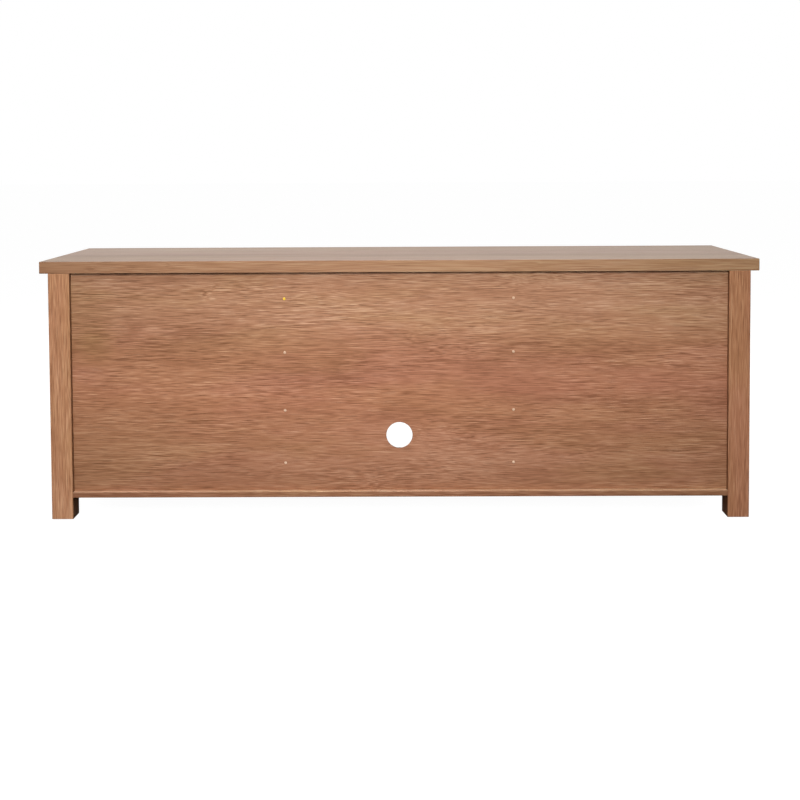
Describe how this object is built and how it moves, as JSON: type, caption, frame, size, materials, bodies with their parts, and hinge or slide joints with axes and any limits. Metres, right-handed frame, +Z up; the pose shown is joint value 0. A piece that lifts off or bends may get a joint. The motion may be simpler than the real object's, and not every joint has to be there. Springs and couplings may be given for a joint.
{
  "type": "media cabinet",
  "caption": "Low oak-look cabinet for a television: thick top on corner posts, an open middle bay with a shelf, and framed doors over the side bays.",
  "frame": {"origin": "on the floor, under the middle of the top board (bottom centre of the bounding box)", "axes": "+X to the right for a person facing the doors, +Y from the doors to the back panel, +Z up"},
  "size_m": [1.5, 0.39, 0.545],
  "materials": {
    "oak_laminate": "satin",
    "bronze": "satin",
    "steel": "satin",
    "plastic": "matte"
  },
  "bodies": {
    "root": {"top_board": "oak_laminate", "bottom_board": "oak_laminate", "back_panel": "oak_laminate", "shelf_middle": "oak_laminate", "side_panel_left": "oak_laminate", "divider_left": "oak_laminate", "post_front_left": "oak_laminate", "post_rear_left": "oak_laminate", "glide_front_left": "plastic", "glide_rear_left": "plastic", "shelf_left": "oak_laminate", "pin_left_outer_front": "steel", "pin_left_outer_rear": "steel", "pin_left_inner_front": "steel", "pin_left_inner_rear": "steel", "pin_middle_left_front": "steel", "pin_middle_left_rear": "steel", "catch_left": "plastic", "hinge_left_lower_fixed_leaf": "bronze", "hinge_left_upper_fixed_leaf": "bronze", "hinge_left_lower_pin": "bronze", "hinge_left_upper_pin": "bronze", "side_panel_right": "oak_laminate", "divider_right": "oak_laminate", "post_front_right": "oak_laminate", "post_rear_right": "oak_laminate", "glide_front_right": "plastic", "glide_rear_right": "plastic", "shelf_right": "oak_laminate", "pin_right_outer_front": "steel", "pin_right_outer_rear": "steel", "pin_right_inner_front": "steel", "pin_right_inner_rear": "steel", "pin_middle_right_front": "steel", "pin_middle_right_rear": "steel", "catch_right": "plastic", "hinge_right_lower_fixed_leaf": "bronze", "hinge_right_upper_fixed_leaf": "bronze", "hinge_right_lower_pin": "bronze", "hinge_right_upper_pin": "bronze"},
    "door_left": {"door_left_hinge_stile": "oak_laminate", "door_left_latch_stile": "oak_laminate", "door_left_bottom_rail": "oak_laminate", "door_left_top_rail": "oak_laminate", "door_left_panel": "oak_laminate", "knob_left": "bronze", "knob_screw_left": "steel", "strike_plate_left": "steel", "hinge_left_lower_door_leaf": "bronze", "hinge_left_upper_door_leaf": "bronze"},
    "door_right": {"door_right_hinge_stile": "oak_laminate", "door_right_latch_stile": "oak_laminate", "door_right_bottom_rail": "oak_laminate", "door_right_top_rail": "oak_laminate", "door_right_panel": "oak_laminate", "knob_right": "bronze", "knob_screw_right": "steel", "strike_plate_right": "steel", "hinge_right_lower_door_leaf": "bronze", "hinge_right_upper_door_leaf": "bronze"}
  },
  "joints": [
    {"name": "door_left_hinge", "type": "hinge", "parent": "root", "child": "door_left", "pos_m": [-0.6855, -0.1795, 0.291], "axis": [0, 0, -1], "range_deg": [0, 170]},
    {"name": "door_right_hinge", "type": "hinge", "parent": "root", "child": "door_right", "pos_m": [0.6855, -0.1795, 0.291], "axis": [0, 0, 1], "range_deg": [0, 170]}
  ]
}
